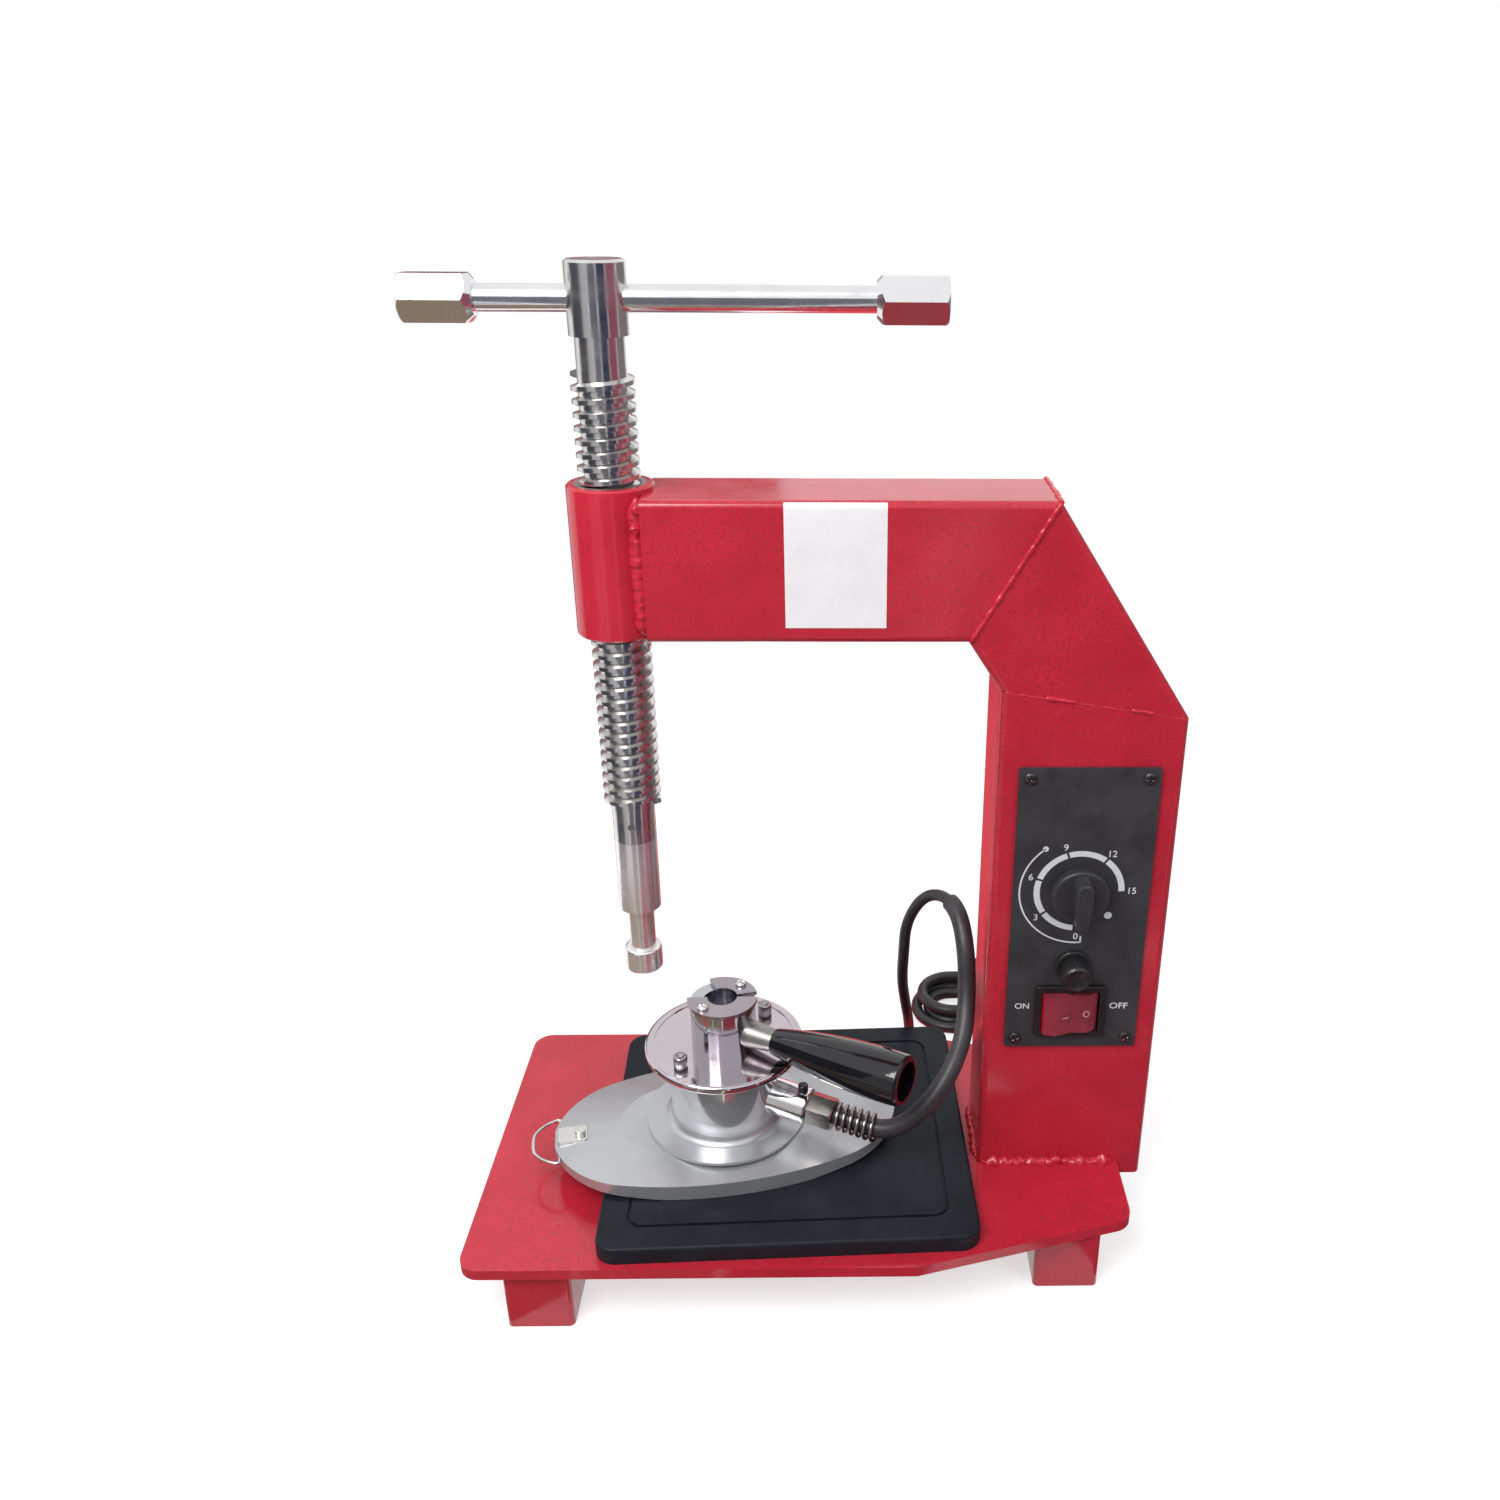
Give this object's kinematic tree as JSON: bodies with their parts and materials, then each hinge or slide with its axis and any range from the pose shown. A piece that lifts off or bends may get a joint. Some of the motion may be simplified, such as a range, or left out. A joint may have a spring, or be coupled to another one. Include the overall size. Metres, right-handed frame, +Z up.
{
  "type": "tire vulcanizer",
  "caption": "Bench press for patching tyres: a C-shaped frame with a hand screw and sliding bar, a heated lower plate, and a loose boat-shaped upper heater on a cable.",
  "frame": {"origin": "middle of the bounding box's bottom face, on the surface that the feet stand on, without the cords", "axes": "+X to the right as seen from the front, +Y towards the back, +Z up along the screw"},
  "size_m": [0.3448, 0.31, 0.4316],
  "materials": {
    "red_paint": "gloss powder coat",
    "nut_steel": "machined",
    "chrome": "bright plated",
    "keeper_steel": "bright sheet",
    "black_plate": "satin heat-proof coating",
    "dark_screws": "blackened",
    "panel_sheet": "satin",
    "black_plastic": "gloss",
    "dark_plastic": "satin",
    "rocker_lens": "see-through gloss",
    "cord_rubber": "satin",
    "insulation": "fibrous board",
    "element": "oxidised",
    "contact_brass": "bright",
    "fuse_glass": "clear"
  },
  "bodies": {
    "frame": {"base_plate": "red_paint", "feet": "red_paint", "column": "red_paint", "knee": "red_paint", "arm": "red_paint", "boss_tube": "red_paint", "screw_nut": "nut_steel", "lower_plate": "black_plate", "plate_bolts": "dark_screws", "panel_screws": "dark_screws", "control_panel": "panel_sheet", "switch_housing": "black_plastic", "fuse_holder": "dark_plastic", "timer_body": "dark_plastic", "terminal_block": "dark_plastic", "heater_cord": "cord_rubber", "heater_sleeve": "cord_rubber", "grommet": "cord_rubber", "mains_relief": "cord_rubber", "mains_lead": "cord_rubber", "mains_hank": "cord_rubber", "mains_tail": "cord_rubber", "mains_plug": "cord_rubber", "cord_tie": "cord_rubber", "mica_heater": "insulation", "insulation_board": "insulation", "switch_blades": "contact_brass", "plug_pins": "contact_brass"},
    "nose": {"press_nose": "chrome"},
    "screw": {"spindle": "chrome", "nose_grub_screw": "nut_steel"},
    "bar": {"sliding_bar": "chrome", "bar_ends": "chrome"},
    "heater": {"boat_sole": "chrome", "tip_tab": "keeper_steel", "tab_screw": "keeper_steel", "heater_body": "chrome", "lid": "chrome", "lid_screws": "dark_screws", "hub": "chrome", "keeper_screws": "nut_steel", "heating_element": "element", "insulation_pad": "insulation", "thermostat": "element", "handle_stem": "nut_steel", "handle_grip": "black_plastic", "handle_nut": "nut_steel", "cable_outlet": "chrome", "clip_screw": "dark_screws", "gland_nut": "chrome", "relief_spring": "chrome"},
    "front_keeper": {"front_keeper": "keeper_steel"},
    "rear_keeper": {"rear_keeper": "keeper_steel"},
    "bail": {"bail": "chrome"},
    "timer_knob": {"timer_knob": "dark_plastic", "timer_shaft": "element"},
    "fuse_cap": {"fuse_cap": "dark_plastic", "fuse_link": "fuse_glass"},
    "rocker": {"rocker": "rocker_lens"}
  },
  "joints": [
    {"name": "screw_travel", "type": "slide", "parent": "frame", "child": "nose", "axis": [0, 0, 1], "range_m": [-0.03, 0.06]},
    {"name": "screw_turn", "type": "hinge", "parent": "nose", "child": "screw", "pos_m": [-0.0777, 0.0036, 0.3], "axis": [0, 0, 1], "range_deg": [-2160, 4320]},
    {"name": "bar_slide", "type": "slide", "parent": "screw", "child": "bar", "axis": [1, 0, 0], "range_m": [-0.0905, 0.0325]},
    {"name": "heater_turn", "type": "hinge", "parent": "frame", "child": "heater", "pos_m": [-0.0426, -0.0045, 0.07], "axis": [0, 0, 1], "range_deg": [-15, 15], "deforming": ["heater_cord", "heater_sleeve"]},
    {"name": "front_keeper_swing", "type": "hinge", "parent": "heater", "child": "front_keeper", "pos_m": [-0.05038, -0.01377, 0.118], "axis": [0, 0, -1], "range_deg": [0, 50]},
    {"name": "rear_keeper_swing", "type": "hinge", "parent": "heater", "child": "rear_keeper", "pos_m": [-0.03482, 0.00477, 0.118], "axis": [0, 0, -1], "range_deg": [-10, 30]},
    {"name": "bail_swing", "type": "hinge", "parent": "heater", "child": "bail", "pos_m": [-0.11861, -0.01859, 0.04948], "axis": [-0.1822, 0.9833, 0], "range_deg": [-25, 85]},
    {"name": "timer_turn", "type": "hinge", "parent": "frame", "child": "timer_knob", "pos_m": [0.112, -0.0194, 0.1817], "axis": [0, 1, 0], "range_deg": [-48, 270]},
    {"name": "rocker_tilt", "type": "hinge", "parent": "frame", "child": "rocker", "pos_m": [0.112, -0.0214, 0.1215], "axis": [0, 0, -1], "range_deg": [0, 20]},
    {"name": "fuse_cap_turn", "type": "hinge", "parent": "frame", "child": "fuse_cap", "pos_m": [0.112, -0.0194, 0.1446], "axis": [0, -1, 0], "range_deg": [0, 90]}
  ],
  "couplings": [
    {"joint": "screw_travel", "follows": "screw_turn", "m_per_rad": 0.00079577}
  ]
}
